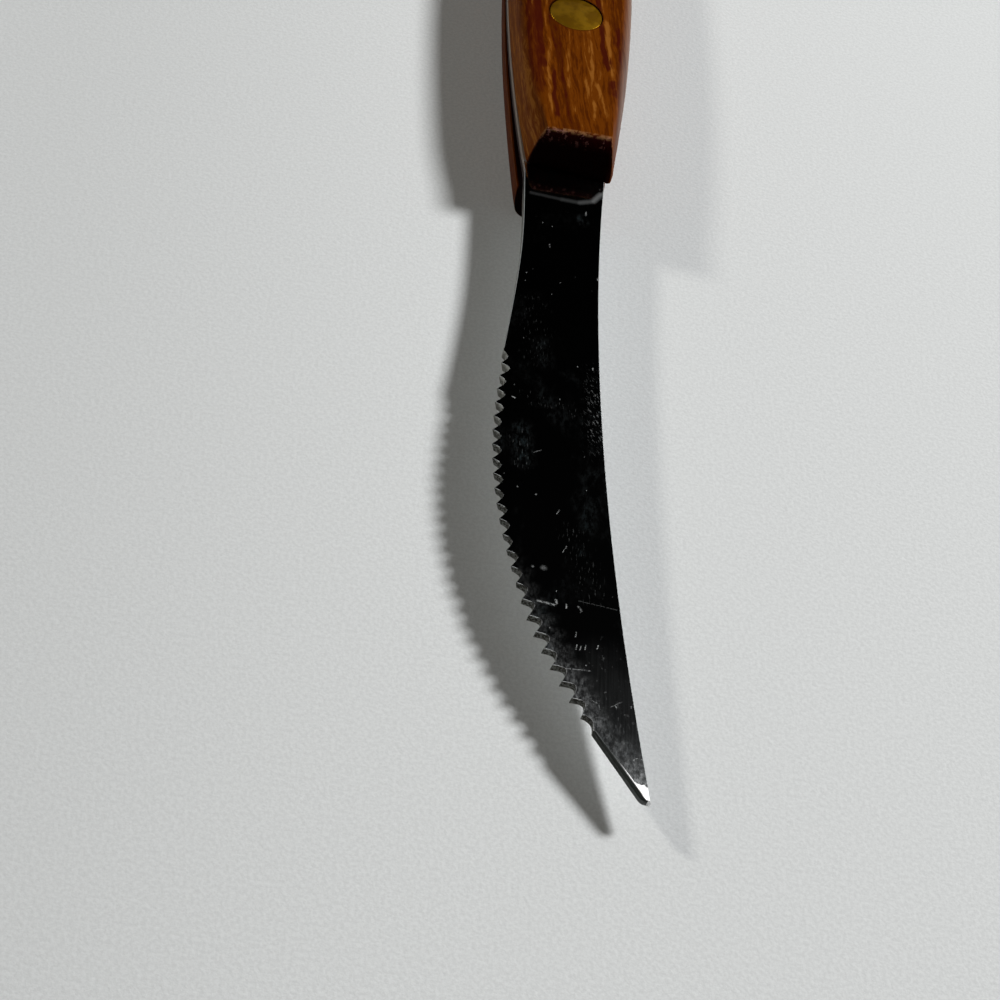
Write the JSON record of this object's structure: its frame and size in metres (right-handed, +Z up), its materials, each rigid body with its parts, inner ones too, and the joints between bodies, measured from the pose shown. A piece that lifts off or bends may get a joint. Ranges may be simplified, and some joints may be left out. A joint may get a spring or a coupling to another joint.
{
  "type": "grapefruit knife",
  "caption": "Kitchen knife with a narrow, gently bent steel blade, a curved serrated edge and a plain slanted tip, its full tang riveted between wooden scales.",
  "frame": {"origin": "on the lower scale's flat resting face, midway along the handle and on its centre line", "axes": "+Y along the handle away from the blade's tip, +X towards the blade's spine, +Z up out of the upper scale"},
  "size_m": [0.0191, 0.206, 0.0128],
  "materials": {
    "steel": "mirror polished, with wear marks",
    "wood": "satin varnish over streaked brown wood",
    "brass": "dull, ground flush"
  },
  "bodies": {
    "root": {"blade": "steel", "upper_scale": "wood", "lower_scale": "wood", "front_rivet_tube": "brass", "front_rivet_pin": "brass", "rear_rivet_tube": "brass", "rear_rivet_pin": "brass"}
  },
  "joints": []
}
